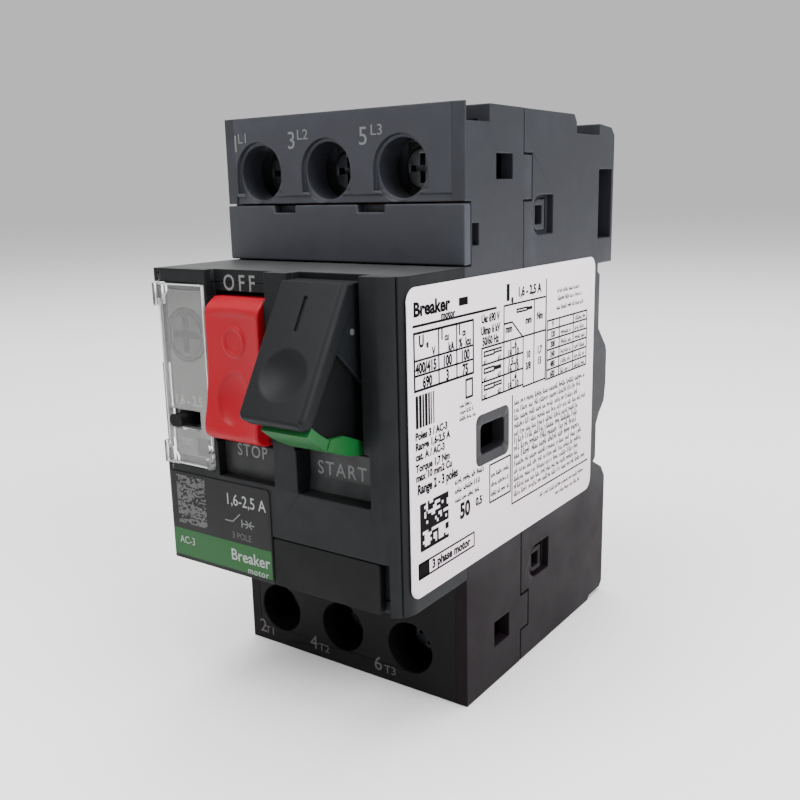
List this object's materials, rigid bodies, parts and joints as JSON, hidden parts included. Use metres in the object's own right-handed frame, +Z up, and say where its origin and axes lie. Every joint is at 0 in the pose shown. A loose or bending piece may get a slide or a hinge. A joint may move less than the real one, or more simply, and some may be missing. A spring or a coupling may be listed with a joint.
{
  "type": "motor protection breaker",
  "caption": "Rail-mounted motor protection breaker with a rocking start lever, stop button, current dial under a clear cover and screw clamp terminals at both ends.",
  "frame": {"origin": "centre of the 35 mm mounting rail, on the plane where the housing seats on it", "axes": "+Z up towards the incoming terminals, -Y out of the front, +X to the breaker's right side seen from the front"},
  "size_m": [0.0447, 0.0798, 0.089],
  "materials": {
    "housing_plastic": "satin moulded, dark blue-grey",
    "nose_plastic": "satin moulded, dark greenish grey",
    "front_print": "printed film, dark with a green band",
    "label_white": "printed white film",
    "clear_plastic": "clear moulded plastic",
    "grey_plastic": "light grey moulded",
    "black_plastic": "satin moulded black",
    "red_plastic": "satin red",
    "green_plastic": "satin green",
    "pin_steel": "bright steel",
    "screw_steel": "zinc plated, darkened",
    "plated_steel": "zinc plated",
    "copper": "copper, silver-plated at the contacts",
    "magnet_copper": "enamelled copper winding",
    "bimetal_strip": "rolled strip",
    "heater_sleeve": "woven glass sleeve",
    "carrier_plastic": "thermoset moulding",
    "spring_steel": "drawn wire"
  },
  "bodies": {
    "housing": {"arc_chute_1": "plated_steel", "arc_chute_2": "plated_steel", "arc_chute_3": "plated_steel", "auxiliary_cover": "housing_plastic", "bimetal_1": "bimetal_strip", "bimetal_2": "bimetal_strip", "bimetal_3": "bimetal_strip", "button_pins": "pin_steel", "front_cowl": "nose_plastic", "front_label": "front_print", "front_plate": "nose_plastic", "heater_windings": "heater_sleeve", "line_conductor_1": "copper", "line_conductor_2": "copper", "line_conductor_3": "copper", "load_conductor_1": "copper", "load_conductor_2": "copper", "load_conductor_3": "copper", "lower_terminal_front": "housing_plastic", "magnetic_coil_1": "magnet_copper", "magnetic_coil_2": "magnet_copper", "magnetic_coil_3": "magnet_copper", "marker_plate": "nose_plastic", "mechanism_frame": "pin_steel", "middle_housing": "housing_plastic", "rail_clip_spring": "spring_steel", "rating_label": "label_white", "rear_housing": "housing_plastic", "setting_panel": "grey_plastic", "test_spring": "spring_steel", "upper_terminal_front": "housing_plastic"},
    "start": {"start_lever": "black_plastic", "start_skirt": "green_plastic"},
    "stop": {"stop_button": "red_plastic"},
    "contact_set": {"contact_carrier": "carrier_plastic", "contact_bridges": "copper", "contact_springs": "spring_steel"},
    "cover": {"setting_cover": "clear_plastic"},
    "dial": {"setting_dial": "grey_plastic"},
    "test": {"test_slider": "black_plastic"},
    "release_bar": {"trip_bar": "carrier_plastic"},
    "clip": {"rail_clip": "black_plastic"},
    "line_clamp_body_1": {"line_clamp_1": "plated_steel"},
    "line_screw_body_1": {"line_screw_1": "screw_steel"},
    "load_clamp_body_1": {"load_clamp_1": "plated_steel"},
    "load_screw_body_1": {"load_screw_1": "screw_steel"},
    "plunger_1": {"magnet_plunger_1": "pin_steel"},
    "line_clamp_body_2": {"line_clamp_2": "plated_steel"},
    "line_screw_body_2": {"line_screw_2": "screw_steel"},
    "load_clamp_body_2": {"load_clamp_2": "plated_steel"},
    "load_screw_body_2": {"load_screw_2": "screw_steel"},
    "plunger_2": {"magnet_plunger_2": "pin_steel"},
    "line_clamp_body_3": {"line_clamp_3": "plated_steel"},
    "line_screw_body_3": {"line_screw_3": "screw_steel"},
    "load_clamp_body_3": {"load_clamp_3": "plated_steel"},
    "load_screw_body_3": {"load_screw_3": "screw_steel"},
    "plunger_3": {"magnet_plunger_3": "pin_steel"}
  },
  "joints": [
    {"name": "start_press", "type": "hinge", "parent": "housing", "child": "start", "pos_m": [0.01, -0.0596, 0.0178], "axis": [1, 0, 0], "range_deg": [0, 30.4], "stiffness_Nm_per_rad": 0.03, "springref_deg": -20.05},
    {"name": "stop_rock", "type": "hinge", "parent": "housing", "child": "stop", "pos_m": [-0.00575, -0.058, 0.017], "axis": [1, 0, 0], "range_deg": [-10, 0]},
    {"name": "contact_slide", "type": "slide", "parent": "housing", "child": "contact_set", "axis": [0, 1, 0], "range_m": [0, 0.003]},
    {"name": "cover_swing", "type": "hinge", "parent": "housing", "child": "cover", "pos_m": [-0.0213, -0.06295, 0.0052], "axis": [0, 0, 1], "range_deg": [-105, 0]},
    {"name": "dial_turn", "type": "hinge", "parent": "housing", "child": "dial", "pos_m": [-0.0167, -0.0615, 0.0114], "axis": [0, 1, 0], "range_deg": [-135, 135]},
    {"name": "test_slide", "type": "slide", "parent": "housing", "child": "test", "axis": [1, 0, 0], "range_m": [0, 0.002], "stiffness_N_per_m": 150, "springref_m": -0.001, "deforming": ["test_spring"]},
    {"name": "release_turn", "type": "hinge", "parent": "housing", "child": "release_bar", "pos_m": [0, -0.0315, -0.018], "axis": [1, 0, 0], "range_deg": [0, 8]},
    {"name": "clip_slide", "type": "slide", "parent": "housing", "child": "clip", "axis": [0, 0, -1], "range_m": [0, 0.003], "stiffness_N_per_m": 400, "springref_m": -0.002, "deforming": ["rail_clip_spring"]},
    {"name": "line_clamp_slide_1", "type": "slide", "parent": "housing", "child": "line_clamp_body_1", "axis": [0, 1, 0], "range_m": [0, 0.0035]},
    {"name": "line_screw_turn_1", "type": "hinge", "parent": "line_clamp_body_1", "child": "line_screw_body_1", "pos_m": [-0.0153, -0.04, 0.0349], "axis": [0, 1, 0], "range_deg": [0, 1800]},
    {"name": "load_clamp_slide_1", "type": "slide", "parent": "housing", "child": "load_clamp_body_1", "axis": [0, 1, 0], "range_m": [0, 0.0035]},
    {"name": "load_screw_turn_1", "type": "hinge", "parent": "load_clamp_body_1", "child": "load_screw_body_1", "pos_m": [-0.0153, -0.04, -0.0388], "axis": [0, 1, 0], "range_deg": [0, 1800]},
    {"name": "plunger_slide_1", "type": "slide", "parent": "housing", "child": "plunger_1", "axis": [0, -1, 0], "range_m": [0, 0.0015], "stiffness_N_per_m": 60, "springref_m": -0.001},
    {"name": "line_clamp_slide_2", "type": "slide", "parent": "housing", "child": "line_clamp_body_2", "axis": [0, 1, 0], "range_m": [0, 0.0035]},
    {"name": "line_screw_turn_2", "type": "hinge", "parent": "line_clamp_body_2", "child": "line_screw_body_2", "pos_m": [-0.0018, -0.04, 0.0349], "axis": [0, 1, 0], "range_deg": [0, 1800]},
    {"name": "load_clamp_slide_2", "type": "slide", "parent": "housing", "child": "load_clamp_body_2", "axis": [0, 1, 0], "range_m": [0, 0.0035]},
    {"name": "load_screw_turn_2", "type": "hinge", "parent": "load_clamp_body_2", "child": "load_screw_body_2", "pos_m": [-0.0018, -0.04, -0.0388], "axis": [0, 1, 0], "range_deg": [0, 1800]},
    {"name": "plunger_slide_2", "type": "slide", "parent": "housing", "child": "plunger_2", "axis": [0, -1, 0], "range_m": [0, 0.0015], "stiffness_N_per_m": 60, "springref_m": -0.001},
    {"name": "line_clamp_slide_3", "type": "slide", "parent": "housing", "child": "line_clamp_body_3", "axis": [0, 1, 0], "range_m": [0, 0.0035]},
    {"name": "line_screw_turn_3", "type": "hinge", "parent": "line_clamp_body_3", "child": "line_screw_body_3", "pos_m": [0.0117, -0.04, 0.0349], "axis": [0, 1, 0], "range_deg": [0, 1800]},
    {"name": "load_clamp_slide_3", "type": "slide", "parent": "housing", "child": "load_clamp_body_3", "axis": [0, 1, 0], "range_m": [0, 0.0035]},
    {"name": "load_screw_turn_3", "type": "hinge", "parent": "load_clamp_body_3", "child": "load_screw_body_3", "pos_m": [0.0117, -0.04, -0.0388], "axis": [0, 1, 0], "range_deg": [0, 1800]},
    {"name": "plunger_slide_3", "type": "slide", "parent": "housing", "child": "plunger_3", "axis": [0, -1, 0], "range_m": [0, 0.0015], "stiffness_N_per_m": 60, "springref_m": -0.001}
  ],
  "couplings": [
    {"joint": "start_press", "follows": "contact_slide", "rad_per_m": 176.8},
    {"joint": "stop_rock", "follows": "contact_slide", "rad_per_m": -58.1},
    {"joint": "release_turn", "follows": "test_slide", "rad_per_m": 69.8},
    {"joint": "line_screw_turn_1", "follows": "line_clamp_slide_1", "rad_per_m": 8970},
    {"joint": "load_screw_turn_1", "follows": "load_clamp_slide_1", "rad_per_m": 8970},
    {"joint": "line_screw_turn_2", "follows": "line_clamp_slide_2", "rad_per_m": 8970},
    {"joint": "load_screw_turn_2", "follows": "load_clamp_slide_2", "rad_per_m": 8970},
    {"joint": "line_screw_turn_3", "follows": "line_clamp_slide_3", "rad_per_m": 8970},
    {"joint": "load_screw_turn_3", "follows": "load_clamp_slide_3", "rad_per_m": 8970}
  ]
}
